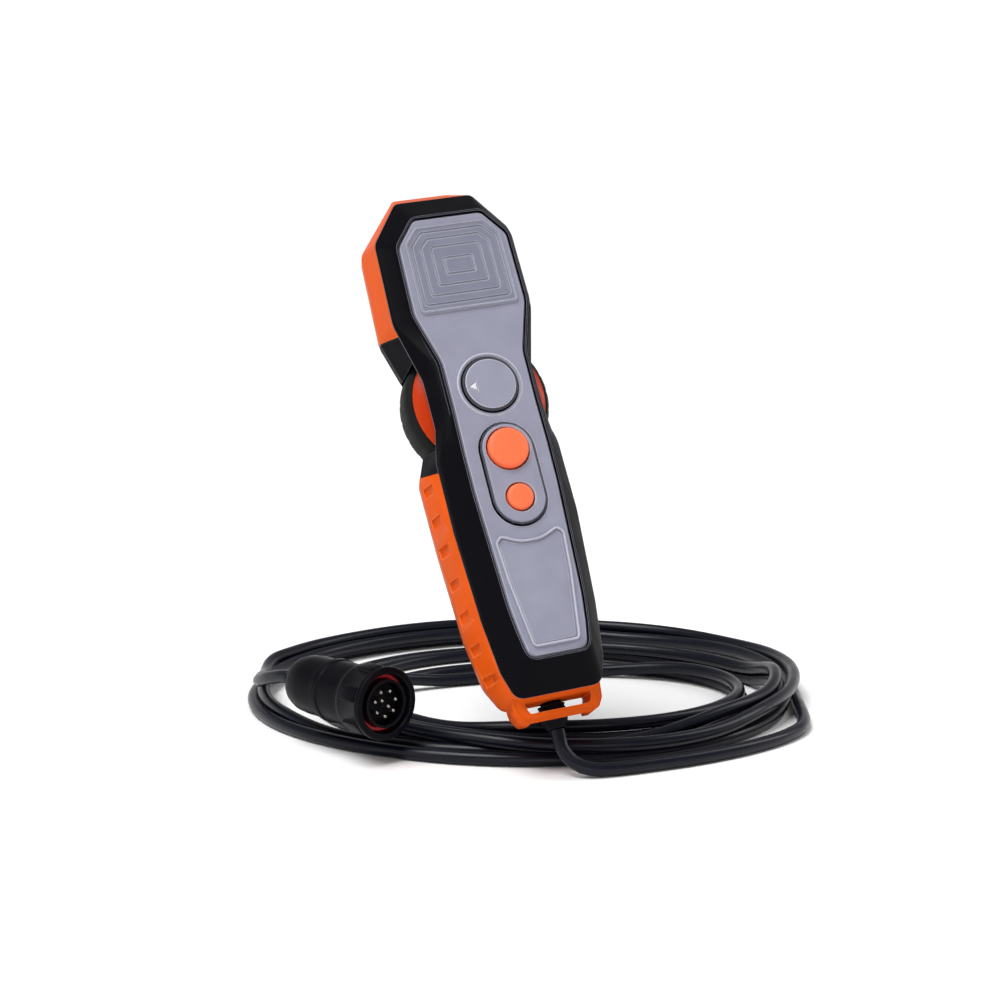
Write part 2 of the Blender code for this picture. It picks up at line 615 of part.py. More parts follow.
def coupling_ring(b, black, at):
    profile = mm((13.6, -17), (14.9, -17), (15.1, -14.5), (15.1, -3.2), (15.9, -2.4), (15.9, -0.8),
                 (15.2, 0), (13.2, 0), (12.6, -0.8), (12.6, -12.5), (13.6, -12.5))
    ring = b.add("coupling_ring", turned("coupling_ring", profile, 40), black, matrix=at)
    for k in range(LUGS):
        lug = box("lug", (14.4 * MM, -3.2 * MM, -13.4 * MM), (15.75 * MM, 3.2 * MM, -3.8 * MM))
        turn = at @ Matrix.Rotation(2 * pi * k / LUGS + LUG_START, 4, "Z")
        combine(ring, b.add(f"ring_lug_{k}", lug, matrix=turn), "UNION")


def contacts(b, black, steel, at):
    insert = cylinder("contact_insert", 8.6 * MM, -25.5 * MM, -9 * MM, 32)
    insert = b.add("contact_insert", insert, black, matrix=at)
    pin_profile = mm((0, -12.7), (0.8, -12.7), (0.8, -5.6), (0.4, -5), (0, -5))
    for k in range(PINS):
        radius, angle = (5.6 * MM, 2 * pi * k / 7) if k < 7 else (2.2 * MM, pi * k)
        spot = at @ Matrix.Translation((radius * cos(angle), radius * sin(angle), 0))
        hole = cylinder("hole", 1.15 * MM, -13 * MM, -5 * MM, 12)
        combine(insert, b.add(f"contact_hole_{k}", hole, matrix=spot))
        b.add(f"contact_pin_{k + 1}", turned("contact_pin", pin_profile, 12), steel, matrix=spot)


def connector(b, black, red, steel):
    at = plug_matrix()
    coupling_ring(b, black, at)
    body = mm((12.1, -6), (12.1, -12.8), (13.3, -12.8), (13.3, -17.3), (14.2, -17.3), (14.2, -18.6),
              (13.5, -19.2), (13.5, -32.4), (14, -33), (14, -35.8), (13.4, -36.4), (13.4, -38),
              (10.4, -38), (10.4, -26), (9, -26), (9, -20), (11, -20), (11, -6))
    b.add("connector_body", turned("connector_body", body, 36), black, matrix=at)
    around = [2 * pi * k / 8 for k in range(8)]
    seal = mm(*[(11.75 + 0.6 * cos(a), -5 + 0.6 * sin(a)) for a in around])
    b.add("connector_seal", turned("connector_seal", seal, 30), red, matrix=at)
    contacts(b, black, steel, at)
    nut = mm((10.1, -28), (10.1, -38.3), (12.7, -38.3), (12.3, -47), (11.2, -53), (9.6, -58),
             (8, -58), (8, -28))
    b.add("connector_back_nut", turned("connector_back_nut", nut, 32), black, matrix=at)
    bore = CORD_DIAMETER / 2 + GAP
    boot = [(bore, -50 * MM)] + mm((7.7, -50), (7.7, -58.3), (6.8, -60))
    boot += [(4.6 * MM, -BOOT_END), (bore, -BOOT_END)]
    b.add("connector_boot", turned("connector_boot", boot, 32), black, matrix=at)


def smooth_route(route, spacing):
    """Evenly spaced points on one smooth curve through the route's points."""
    padded = [2 * route[0] - route[1]] + route + [2 * route[-1] - route[-2]]
    fine = []
    for a, p, q, d in zip(padded, padded[1:], padded[2:], padded[3:]):
        for k in range(24):
            t = k / 24
            fine.append(0.5 * (2 * p + (q - a) * t + (2 * a - 5 * p + 4 * q - d) * t ** 2
                               + (3 * p - a - 3 * q + d) * t ** 3))
    fine.append(route[-1])
    travelled = [0.0]
    for p, q in zip(fine, fine[1:]):
        travelled.append(travelled[-1] + (q - p).length)
    count = max(2, round(travelled[-1] / spacing))
    points = []
    i = 0
    for k in range(count + 1):
        goal = travelled[-1] * k / count
        while i < len(fine) - 2 and travelled[i + 1] < goal:
            i += 1
        share = (goal - travelled[i]) / (travelled[i + 1] - travelled[i])
        points.append(fine[i].lerp(fine[i + 1], min(max(share, 0), 1)))
    return points


def cord_tube(b, name, mouth, direction, route, black):
    """A plain tube out of mouth along direction, then through the route's points."""
    curve = bpy.data.curves.new(name, "CURVE")
    curve.dimensions = "3D"
    curve.bevel_depth = CORD_DIAMETER / 2
    curve.bevel_resolution = 2
    curve.use_fill_caps = True
    curve.materials.append(black)
    start = mouth + direction * GAP
    inner = [Vector(p) * MM for p in route]
    points = smooth_route([start, start + direction * CORD_DIAMETER] + inner, 2.4 * CORD_DIAMETER)
    spline = curve.splines.new("POLY")
    spline.points.add(len(points) - 1)
    for point, place in zip(spline.points, points):
        point.co = (*place, 1)
    obj = bpy.data.objects.new(name, curve)
    b.parts.objects.link(obj)


def cord_coil(b, black):
    """The outer shape of the coiled cable, as one ring lying on the floor."""
    bevel = 2.5 * MM
    low, high = COIL_HEIGHT - bevel, COIL_HEIGHT
    ring = turned("cord_coil", [
        (COIL_INNER, 0), (COIL_OUTER - bevel, 0), (COIL_OUTER, bevel), (COIL_OUTER, low),
        (COIL_OUTER - bevel, high), (COIL_INNER + bevel, high), (COIL_INNER, low)], 60)
    b.add("cord_coil", ring, black, at=(*COIL_CENTRE, 0))


def main():
    for obj in list(bpy.data.objects):
        bpy.data.objects.remove(obj)
    parts = bpy.data.collections.new("pendant_control_station")
    cutters = bpy.data.collections.new("cutters")
    for group in (parts, cutters):
        bpy.context.scene.collection.children.link(group)
    b = Builder(parts, cutters)

    black = material("black_plastic", (30, 29, 35), 0.45)
    orange = material("orange_plastic", (238, 110, 52), 0.5)
    button_orange = material("orange_button", (250, 110, 68), 0.5)
    grey = material("grey_plastic", (157, 158, 172), 0.5)
    white = material("white_print", (235, 235, 238), 0.6)
    rubber = material("black_rubber", (32, 33, 33), 0.8)
    steel = material("steel", (190, 190, 192), 0.3, 1.0)
    green = material("board_green", (30, 92, 58), 0.5)
    red = material("red_seal", (160, 28, 38), 0.6)
    sheath = material("cable_sheath", (26, 26, 33), 0.5)

    frame = bpy.data.objects.new("pendant_frame", None)
    cutters.objects.link(frame)
    frame.matrix_world = Matrix.Translation(DIAL_CENTRE) @ Euler(BODY_TILT, "XYZ").to_matrix().to_4x4()
    b.parent = frame
    front_shell(b, black)
    rear_shell(b, black)
    head_guard(b, orange)
    grip_frame(b, orange)
    face_plate(b, grey)
    head_pad(b, grey)
    badge_plate(b, grey)
    dial(b, black, grey, white)
    thumbwheel(b, orange, rubber, steel)
    dial_sensor(b, black)
    key_island(b, black, grey)
    push_button(b, "large_button", LARGE_Y, LARGE_RADIUS, 10.2 * MM, 4.4 * MM, button_orange)
    push_button(b, "small_button", SMALL_Y, SMALL_RADIUS, 7.1 * MM, 3.5 * MM, button_orange)
    key_switch(b, "large_key_switch", LARGE_Y, black)
    key_switch(b, "small_key_switch", SMALL_Y, black)
    boards(b, green, black, steel)
    housing_screws(b, steel)
    gland(b, black)

    b.parent = None
    connector(b, black, red, steel)
    cord_coil(b, sheath)
    down = -(frame.matrix_world.to_3x3() @ Vector((0, 1, 0)))
    gland_mouth = frame.matrix_world @ Vector((0, GLAND_END, GLAND_Z))
    cord_tube(b, "cord_lead", gland_mouth, down, LEAD_ROUTE, sheath)
    boot_end = Vector(PLUG_AT) - PLUG_AXIS * BOOT_END
    cord_tube(b, "cord_tail", boot_end, -PLUG_AXIS, TAIL_ROUTE, sheath)


main()
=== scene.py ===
"""Pendant control station on a pale floor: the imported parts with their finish, the loose coiled
cable, and the fine relief of the face, the grip and the connector. The outlines of the hand-held
body are in its own frame and in millimetres: x across, y towards the head, z out of the face."""

import json
from math import atan, atan2, cos, pi, radians, sin, tan

import bmesh
import bpy
import numpy as np
from mathutils import Matrix, Vector


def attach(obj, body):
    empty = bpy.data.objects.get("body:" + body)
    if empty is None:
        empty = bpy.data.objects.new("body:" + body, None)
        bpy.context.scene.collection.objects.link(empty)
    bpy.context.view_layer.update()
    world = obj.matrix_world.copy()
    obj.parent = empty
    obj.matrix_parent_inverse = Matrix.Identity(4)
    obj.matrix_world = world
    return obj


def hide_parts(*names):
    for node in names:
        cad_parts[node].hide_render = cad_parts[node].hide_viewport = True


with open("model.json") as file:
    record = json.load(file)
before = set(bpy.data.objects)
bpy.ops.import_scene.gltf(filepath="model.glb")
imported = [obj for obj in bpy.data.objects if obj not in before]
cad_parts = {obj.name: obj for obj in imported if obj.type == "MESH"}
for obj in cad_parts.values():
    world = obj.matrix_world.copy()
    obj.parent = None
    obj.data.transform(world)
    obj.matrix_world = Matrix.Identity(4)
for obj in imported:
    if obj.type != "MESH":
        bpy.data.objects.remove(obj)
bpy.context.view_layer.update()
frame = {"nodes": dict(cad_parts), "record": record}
MM = 0.001

JOINTS = {j["name"]: j for j in frame["record"]["behaviour"]["joints"]}
MOUNTS = {m["name"]: m for m in frame["record"]["mounts"]}


def axes(origin, x, y, z):
    return Matrix.Translation(origin) @ Matrix((x, y, z)).transposed().to_4x4()


NORMAL = Vector(JOINTS["dial_turn"]["axis"]).normalized()
UP = -Vector(MOUNTS["loop_bar"]["axis"]).normalized()
BODY = axes(JOINTS["dial_turn"]["pos_m"], UP.cross(NORMAL), UP, NORMAL)
PLUG_AT = Vector(JOINTS["coupling_ring_turn"]["pos_m"])
PLUG_AXIS = Vector(JOINTS["coupling_ring_turn"]["axis"]).normalized()
PLUG_TURN = Vector((0, 0, 1)).rotation_difference(PLUG_AXIS)
PLUG = Matrix.Translation(PLUG_AT) @ PLUG_TURN.to_matrix().to_4x4()
# Where the cable leaves the gland, in the body's frame, and where the boot ends behind the
# coupling ring's pivot, in mm.
GLAND_END = Vector((0, -145.4, -28.5))
BOOT_END = 68

# ---------------------------------------------------------------- shader nodes


def node(tree, kind, **values):
    made = tree.nodes.new("ShaderNode" + kind)
    for name, value in values.items():
        made.inputs[name.replace("_", " ")].default_value = value
    return made


def mixed(tree, factor, low, high):
    """Blends two colours by a factor socket."""
    mix = tree.nodes.new("ShaderNodeMix")
    mix.data_type = "RGBA"
    tree.links.new(factor, mix.inputs["Factor"])
    for socket, value in ((mix.inputs[6], low), (mix.inputs[7], high)):
        if isinstance(value, tuple):
            socket.default_value = value
        else:
            tree.links.new(value, socket)
    return mix.outputs[2]


def ranged(tree, value, low, high, to_low, to_high):
    spread = node(tree, "MapRange", From_Min=low, From_Max=high, To_Min=to_low, To_Max=to_high)
    tree.links.new(value, spread.inputs["Value"])
    return spread.outputs["Result"]


# ---------------------------------------------------------------- camera, floor and light, in metres

LENS, SENSOR = 82.8, 36
CAMERA_AT, CAMERA_TILT = (-0.0057, -0.9633, 0.2647), radians(81)
FARTHEST = 50
FLOOR_HALF = 12
HORIZON, OVERHEAD = 0.1, 0.35
HORIZON_LEVEL, OVERHEAD_LEVEL = 1.02, 0.3
SUN_SPREAD = radians(36)


def camera():
    data = bpy.data.cameras.new("camera")
    data.lens = LENS
    data.sensor_width = SENSOR
    data.clip_end = FARTHEST
    obj = bpy.data.objects.new("camera", data)
    bpy.context.scene.collection.objects.link(obj)
    obj.location = CAMERA_AT
    obj.rotation_euler = (CAMERA_TILT, 0, 0)
    bpy.context.scene.camera = obj


def lamp(name, kind, at, aim, power):
    data = bpy.data.lights.new(name, kind)
    data.energy = power
    obj = bpy.data.objects.new(name, data)
    bpy.context.scene.collection.objects.link(obj)
    obj.location = at
    obj.rotation_euler = (Vector(aim) - Vector(at)).to_track_quat("-Z", "Y").to_euler()
    return data


def area(name, at, aim, size, power):
    data = lamp(name, "AREA", at, aim, power)
    data.shape = "RECTANGLE"
    data.size, data.size_y = size


def sky():
    """Dim all round, with a white band along the horizon, as a lit backdrop gives."""
    world = bpy.data.worlds.new("studio")
    bpy.context.scene.world = world
    world.use_nodes = True
    tree = world.node_tree
    back = tree.nodes["Background"]
    back.inputs["Color"].default_value = (1, 1, 1, 1)
    place = tree.nodes.new("ShaderNodeTexCoord")
    split = tree.nodes.new("ShaderNodeSeparateXYZ")
    tree.links.new(place.outputs["Generated"], split.inputs["Vector"])
    level = ranged(tree, split.outputs["Z"], HORIZON, OVERHEAD, HORIZON_LEVEL, OVERHEAD_LEVEL)
    tree.links.new(level, back.inputs["Strength"])


def stage():
    """The pale floor, the sky and the soft lights."""
    mesh = bpy.data.meshes.new("floor")
    corners = [(x * FLOOR_HALF, y * FLOOR_HALF, 0) for x, y in ((-1, -1), (1, -1), (1, 1), (-1, 1))]
    mesh.from_pydata(corners, [], [(0, 1, 2, 3)])
    floor = bpy.data.objects.new("floor", mesh)
    bpy.context.scene.collection.objects.link(floor)
    paint = bpy.data.materials.new("floor_paint")
    paint.use_nodes = True
    shader = paint.node_tree.nodes["Principled BSDF"]
    shader.inputs["Base Color"].default_value = (0.9, 0.9, 0.905, 1)
    shader.inputs["Roughness"].default_value = 0.8
    shader.inputs["Specular IOR Level"].default_value = 0.2
    mesh.materials.append(paint)
    sky()
    sun = lamp("soft_top", "SUN", at=(-0.35, -0.3, 1), aim=(0, 0, 0), power=3)
    sun.angle = SUN_SPREAD
    area("key", at=(-1, -0.9, 0.8), aim=(0, 0, 0.12), size=(0.4, 0.9), power=1.6)
    area("front", at=(0.1, -1.5, 0.25), aim=(0, 0, 0.1), size=(1.2, 0.3), power=2)
    area("edge", at=(0.9, 0.35, 0.8), aim=(0, 0.03, 0.12), size=(0.25, 0.9), power=4)
    bpy.context.scene.view_settings.view_transform = "Standard"


# ---------------------------------------------------------------- finishes

# Soft clouds vary the tone and the roughness. Edges, convex and concave alike, are painted paler,
# partly as wear and partly as a painted highlight: this starts where an edge's rounded normal leaves
# the flat one by this cosine, and is full at the next.
CLOUD_SCALE, CLOUD_LOW, CLOUD_HIGH = 70.0, 0.3, 0.7
DARK_TONE, PALE_TONE, HIGHLIGHT_WEAR_TONE = 0.93, 1.06, 1.15
GLOSSIER, DULLER = 0.05, 0.06
HIGHLIGHT_WEAR_START, HIGHLIGHT_WEAR_FULL, MOST_HIGHLIGHT_WEAR = 0.998, 0.93, 0.8
HIGHLIGHT_WEAR_WIDTH, GRAIN_DEPTH = 0.45 * MM, 0.05 * MM


def linear(color, gain):
    """A colour of 0 to 255 steps as the shader's linear one, made darker or paler by a gain."""
    return tuple(min(gain * ((c / 255 + 0.055) / 1.055) ** 2.4, 1) for c in color) + (1,)


def finish_of(name, color, rough, metal=0.0, grain=0.2, scale=2200.0, gloss=0.5, wear_and_highlight=None):
    """Moulded or turned surface: fine grain, cloudy tone and gloss, and paler edges of wear and
    painted highlight.
    """
    mat = bpy.data.materials.new(name)
    mat.use_nodes = True
    tree = mat.node_tree
    shader = tree.nodes["Principled BSDF"]
    shader.inputs["Metallic"].default_value = metal
    shader.inputs["Specular IOR Level"].default_value = gloss
    place = tree.nodes.new("ShaderNodeTexCoord")
    cloud = node(tree, "TexNoise", Scale=CLOUD_SCALE, Detail=6.0, Roughness=0.6)
    fine = node(tree, "TexNoise", Scale=scale, Detail=3.0)
    for noise in (cloud, fine):
        tree.links.new(place.outputs["Object"], noise.inputs["Vector"])
    tone = ranged(tree, cloud.outputs["Fac"], CLOUD_LOW, CLOUD_HIGH, 0, 1)
    base = mixed(tree, tone, linear(color, DARK_TONE), linear(color, PALE_TONE))
    edge = node(tree, "Bevel", Radius=HIGHLIGHT_WEAR_WIDTH)
    edge.samples = 6
    flat = tree.nodes.new("ShaderNodeNewGeometry")
    dot = tree.nodes.new("ShaderNodeVectorMath")
    dot.operation = "DOT_PRODUCT"
    tree.links.new(edge.outputs["Normal"], dot.inputs[0])
    tree.links.new(flat.outputs["Normal"], dot.inputs[1])
    # Paler edges, convex and concave alike: partly wear, partly a painted highlight.
    wear_and_highlight_mask = ranged(tree, dot.outputs["Value"], HIGHLIGHT_WEAR_START, HIGHLIGHT_WEAR_FULL, 0, MOST_HIGHLIGHT_WEAR)
    base = mixed(tree, wear_and_highlight_mask, base, linear(wear_and_highlight or color, HIGHLIGHT_WEAR_TONE))
    tree.links.new(base, shader.inputs["Base Color"])
    sheen = ranged(tree, cloud.outputs["Fac"], CLOUD_LOW, CLOUD_HIGH, rough - GLOSSIER, rough + DULLER)
    tree.links.new(sheen, shader.inputs["Roughness"])
    bump = node(tree, "Bump", Strength=grain, Distance=GRAIN_DEPTH)
    tree.links.new(fine.outputs["Fac"], bump.inputs["Height"])
    tree.links.new(edge.outputs["Normal"], bump.inputs["Normal"])
    tree.links.new(bump.outputs["Normal"], shader.inputs["Normal"])
    return mat


def finishes():
    rows = {
        # The last colour of each row paints the edges paler: partly wear, partly a painted highlight.
        "black_plastic": dict(color=(9, 8, 13), rough=0.4, gloss=0.035, wear_and_highlight=(128, 128, 140)),
        "black_cover": dict(color=(9, 8, 13), rough=0.36, gloss=0.05, wear_and_highlight=(40, 40, 48)),
        "black_matte": dict(color=(9, 8, 13), rough=0.5, gloss=0.03, wear_and_highlight=(70, 70, 78)),
        "orange_plastic": dict(color=(208, 80, 12), rough=0.42, wear_and_highlight=(255, 142, 84), gloss=0.06),
        # The dome's base orange is darkened in part as painted shade from the deck that overhangs it.
        "orange_gloss": dict(color=(176, 48, 6), rough=0.26, wear_and_highlight=(226, 96, 36), gloss=0.1),
        "orange_button": dict(color=(250, 108, 66), rough=0.5, wear_and_highlight=(255, 132, 84), gloss=0.3),
        "grey_plastic": dict(color=(137, 137, 154), rough=0.45, wear_and_highlight=(226, 226, 234), gloss=0.3),
        "grey_pad": dict(color=(116, 117, 133), rough=0.5, wear_and_highlight=(186, 186, 199), gloss=0.3),
        "white_print": dict(color=(206, 206, 214), rough=0.55, grain=0.1),
        "black_rubber": dict(color=(17, 18, 18), rough=0.6, grain=0.5, scale=1400.0, gloss=0.12),
        "steel": dict(color=(190, 190, 194), rough=0.3, metal=1.0, scale=900.0),
        "contact_metal": dict(color=(158, 156, 151), rough=0.3, metal=1.0, scale=900.0),
        "dark_part": dict(color=(35, 35, 38), rough=0.55),
        "board_green": dict(color=(24, 88, 52), rough=0.4),
        "red_seal": dict(color=(186, 22, 38), rough=0.45, grain=0.1),
        "cable_sheath": dict(color=(8, 10, 22), rough=0.3, grain=0.25, scale=700.0, gloss=0.22),
    }
    return {name: finish_of(name, **values) for name, values in rows.items()}


def smooth(mesh, angle=35):
    mesh.shade_smooth()
    mesh.set_sharp_from_angle(angle=radians(angle))


def dress_nodes():
    """Gives every CAD node the finish of its material slot."""
    slot_of = {s["node"]: s["material_slot"] for s in frame["record"]["subparts"]}
    for name, obj in frame["nodes"].items():
        obj.data.materials.clear()
        obj.data.materials.append(MATS[slot_of[name]])
        smooth(obj.data)


# ---------------------------------------------------------------- outlines of the hand-held body

# Rows of x, y, z and corner radius in mm, down the right side from the head to the loop: the edge
# of the face plate, the crease below it, the parting line and the widest line of the rear half.
FACE = [(15.5, 79, 0, 4), (24.8, 67.3, 0, 6), (25.3, 35.5, 0, 14), (18.5, 13, 0, 18),
        (18.4, -10, 0, 40), (18.7, -28, 0, 40), (18.6, -46, 0, 60), (16.4, -96, 0, 60),
        (15, -108, 0, 20), (13, -119.2, 0, 5)]
CREASE = [(17.3, 92.3, -12.3, 4), (30.6, 74.5, -12.3, 8), (31.2, 37, -12.3, 12), (20.6, 15, -6, 14),
          (19.4, -9, -5, 14), (26.8, -25.5, -10, 16), (27.4, -58, -10.5, 60), (25, -98, -11, 60),
          (22.3, -120, -11.5, 16), (18.8, -132.3, -12, 6)]
RIM = [(17.6, 92.8, -13, 4), (31, 75, -13, 8), (31.8, 37, -13, 12), (24.8, 10, -13, 10),
       (24.6, -12, -13, 9), (27.8, -27, -13, 10), (27.8, -58, -13, 60), (25.6, -98, -13, 60),
       (23, -120.5, -13, 16), (19, -132.8, -13, 6)]
SIDE = [(18, 94.2, -30, 4), (32.6, 75.5, -30, 8), (34.2, 36, -30, 14), (25.6, 8, -30, 9),
        (25.6, -13, -30, 9), (32, -29, -30, 10), (31.4, -60, -30, 80), (29.4, -100, -30, 50),
        (26, -122, -30, 14), (19.6, -134, -30, 7)]
PARTING, WIDEST = -13.0, -30.0
LEAST_RADIUS, CORNER_REACH = 0.4, 0.45


def ease(t):
    """A smooth rise from 0 to 1."""
    t = min(max(t, 0.0), 1.0)
    return t * t * (3 - 2 * t)


def full(half):
    """Both halves of a symmetric outline, as (point, corner radius)."""
    right = [(Vector(row[:3]), row[3]) for row in half]
    return right + [(Vector((-p.x, p.y, p.z)), r) for p, r in reversed(right)]


def offset(outline, distance):
    """Moves an outline's sides outwards by distance, in its own plane."""
    count = len(outline)
    moved = []
    for i in range(count):
        last, here, ahead = (outline[(i + k) % count][0] for k in (-1, 0, 1))
        a = (here - last).xy.normalized()
        b = (ahead - here).xy.normalized()
        out_a = Vector((-a.y, a.x))
        out_b = Vector((-b.y, b.x))
        shift = (out_a + out_b) * distance / (1 + out_a.dot(out_b))
        radius = max(outline[i][1] + (distance if a.cross(b) < 0 else -distance), LEAST_RADIUS)
        moved.append((here + Vector((shift.x, shift.y, 0)), radius))
    return moved


def at_height(outline, z):
    return [(Vector((p.x, p.y, z)), r) for p, r in outline]


def between(low, high, share):
    """An outline part of the way from one to another."""
    return [(p.lerp(q, share), r + (s - r) * share) for (p, r), (q, s) in zip(low, high)]


def rounded(outline, steps=10):
    """The outline's points, each corner turned as an arc of its radius."""
    count = len(outline)
    points = []
    for i in range(count):
        last, here, ahead = (outline[(i + k) % count][0] for k in (-1, 0, 1))
        a = (last - here).normalized()
        b = (ahead - here).normalized()
        reach = outline[i][1] / tan(a.angle(b) / 2)
        reach = min(reach, CORNER_REACH * (last - here).length, CORNER_REACH * (ahead - here).length)
        for k in range(steps + 1):
            t = k / steps
            start = (here + a * reach) * (1 - t) ** 2
            points.append(start + here * 2 * t * (1 - t) + (here + b * reach) * t ** 2)
    return points


FACE_LINE, CREASE_LINE, RIM_LINE = (full(rows) for rows in (FACE, CREASE, RIM))

# ---------------------------------------------------------------- mesh building, in mm


def finish_mesh(name, bm, sharp=40):
    bmesh.ops.recalc_face_normals(bm, faces=bm.faces)
    mesh = bpy.data.meshes.new(name)
    bm.to_mesh(mesh)
    bm.free()
    mesh.transform(Matrix.Scale(MM, 4))
    smooth(mesh, sharp)
    return mesh


def loft(name, rings, sharp=40):
    """A closed solid through rings of equal point counts, first and last ring capped."""
    bm = bmesh.new()
    loops = [[bm.verts.new(p) for p in ring] for ring in rings]
    count = len(loops[0])
    for low, high in zip(loops, loops[1:]):
        for i in range(count):
            j = (i + 1) % count
            bm.faces.new((low[i], low[j], high[j], high[i]))
    caps = [bm.faces.new(loops[0]), bm.faces.new(loops[-1])]
    bmesh.ops.triangulate(bm, faces=caps, ngon_method="EAR_CLIP")
    return finish_mesh(name, bm, sharp)


def turned(name, profile, segments=96, sharp=40):
    """A solid of revolution about z, from (radius, z) pairs; radius 0 closes an end."""
    bm = bmesh.new()
    rings = []
    for radius, z in profile:
        if radius == 0:
            rings.append([bm.verts.new((0, 0, z))])
            continue
        angles = [2 * pi * k / segments for k in range(segments)]
        rings.append([bm.verts.new((radius * cos(a), radius * sin(a), z)) for a in angles])
    closed = profile[0][0] > 0 and profile[-1][0] > 0
    pairs = list(zip(rings, rings[1:])) + ([(rings[-1], rings[0])] if closed else [])
    for low, high in pairs:
        for i in range(segments):
            j = (i + 1) % segments
            corners = [low[i % len(low)], low[j % len(low)], high[j % len(high)], high[i % len(high)]]
            bm.faces.new(list(dict.fromkeys(corners)))
    return finish_mesh(name, bm, sharp)


def stadium(radius, y_high, y_low, z, steps=24):
    """Points of a slot outline with round ends centred at y_high and y_low."""
    points = []
    for centre, start in ((y_high, 0), (y_low, pi)):
        for k in range(steps + 1):
            a = start + pi * k / steps
            points.append(Vector((radius * cos(a), centre + radius * sin(a), z)))
    return points


def block(name, low, high, edge):
    """A box with softened edges."""
    bm = bmesh.new()
    bmesh.ops.create_cube(bm, size=1)
    size = Vector(high) - Vector(low)
    centre = (Vector(high) + Vector(low)) / 2
    for v in bm.verts:
        v.co = Vector((v.co.x * size.x, v.co.y * size.y, v.co.z * size.z)) + centre
    bmesh.ops.bevel(bm, geom=bm.edges[:], offset=edge, segments=3, profile=0.5, affect="EDGES")
    return finish_mesh(name, bm)


def put(name, mesh, slot, replaces, body="housing", at=BODY):
    """Adds a piece that rides on a CAD body and stands for CAD nodes."""
    obj = bpy.data.objects.new(name, mesh)
    bpy.context.scene.collection.objects.link(obj)
    obj.matrix_world = at
    mesh.materials.clear()
    mesh.materials.append(MATS[slot])
    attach(obj, body)
    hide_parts(*replaces)
    return obj


def carve(obj, mesh, at=BODY, operation="DIFFERENCE"):
    """Cuts a mesh out of a piece, or joins it on, and leaves the result as plain mesh."""
    tool = bpy.data.objects.new("tool", mesh)
    bpy.context.scene.collection.objects.link(tool)
    tool.matrix_world = at
    modifier = obj.modifiers.new("carve", "BOOLEAN")
    modifier.operation = operation
    modifier.solver = "EXACT"
    modifier.object = tool
    bpy.context.view_layer.update()
    result = bpy.data.meshes.new_from_object(obj.evaluated_get(bpy.context.evaluated_depsgraph_get()))
    obj.modifiers.clear()
    old = obj.data
    obj.data = result
    bpy.data.meshes.remove(old)
    bpy.data.objects.remove(tool)
    smooth(obj.data, 40)


# ---------------------------------------------------------------- pieces of the hand-held body

# The room for the wheel, as radius and z about the dial's axis; the buttons' centres and bores;
# the half-width of the slot round them; and the floor and side gap of the face plate's recess.
POCKET = [(0, -38.2), (33.1, -38.2), (33.1, -13.2), (24, -13), (19, -11.4), (12, -9), (0, -8.4)]
LARGE_Y, SMALL_Y = -29.6, -51.2
LARGE_BORE, SMALL_BORE = 9.45, 6.35
BORE_EASE = 0.45
ISLAND = 12.2
DECK = -2.3
PLATE_GAP = 0.3
# Where the front's extra rings lie, as shares of the way to the crease and on to the parting line.
NEAR_CREASE, INTO_CREASE, PAST_CREASE = 0.93, 0.75, 0.4
# Outlines of the head pad's bead and of its four terraces, and of the name panel.
PAD_STEPS = [
    [(15.6, 75, 0, 3), (21.8, 67.8, 0, 3), (22.1, 35.4, 0, 2.4)],
    [(13.8, 72.2, 0, 2), (19.2, 66.2, 0, 2.4), (19.4, 38.8, 0, 2.2)],
    [(11.6, 69.0, 0, 1.6), (15.4, 65.0, 0, 1.6), (15.5, 42.6, 0, 1.8)],
    [(9.6, 65.0, 0, 1.0), (11.0, 63.6, 0, 1.0), (11.2, 47.0, 0, 1.2)],
    [(6.0, 59.4, 0, 0.3), (6.4, 59.0, 0, 0.3), (6.4, 51.8, 0, 0.5)],
]
TERRACE_DROP, TERRACE_LIFT = 0.5, 0.06
BADGE = [(4.6, -69.4, 0, 14), (12.6, -65.8, 0, 2.6), (15.5, -68.8, 0, 3.2), (14.3, -86, 0, 40),
         (10.4, -115.2, 0, 2.8)]
GRIP_MARKS = (-35.2, -49.2, -62.6, -77.5, -92, -106.6, -120.5)
MARK_HALF, MARK_EDGE = Vector((2, 2.2, 4.4)), 0.5
MARK_Z, MARK_DEPTH = -24, 0.8
# The head's narrowing share and its rise, the height they start at, and the distances upwards and
# backwards over which they grow.
HEAD_NARROW, HEAD_RISE, HEAD_FROM, HEAD_OVER, BACK_OVER = 0.26, 2.8, 76, 22, 15
DOME_RADIUS, DOME_FOOT, DOME_RISE = 28.9, -18.4, 8.2
TYRE_STEPS, TYRE_RIB, TYRE_GROOVE, TYRE_TREAD = 144, 6, 0.22, 31
SCREWS = 6
CROSS_LOW, CROSS_HIGH = (-1.7, -0.32, -44), (1.7, 0.32, -41.2)


def ring_at(outline, z, grow):
    return rounded(at_height(offset(outline, grow), z))


def slot_mesh(low, high):
    return loft("slot", [stadium(ISLAND, LARGE_Y, SMALL_Y, z) for z in (low, high)])


def shell_front():
    """The black front half, with a rounded lip round the grey plate."""
    lip = [(0.2, 0.1), (0.3, 0.75), (1.05, 0.8), (1.5, 0.25), (2.1, -0.3)]
    rings = [ring_at(FACE_LINE, z, grow) for grow, z in lip]
    near = between(FACE_LINE, CREASE_LINE, NEAR_CREASE)
    rings += [rounded(near), rounded(between(near, CREASE_LINE, INTO_CREASE))]
    rings += [rounded(between(CREASE_LINE, RIM_LINE, PAST_CREASE)), rounded(RIM_LINE)]
    mesh = loft("shell_front", rings, 28)
    shell = put("shell_front", mesh, "black_plastic", replaces=["front_shell"])
    carve(shell, loft("recess", [ring_at(FACE_LINE, z, PLATE_GAP) for z in (3, DECK)]))
    carve(shell, turned("pocket", POCKET))
    carve(shell, turned("dial_hole", [(0, -12), (6, -12), (6, 1), (0, 1)]))
    carve(shell, slot_mesh(-12, 3))


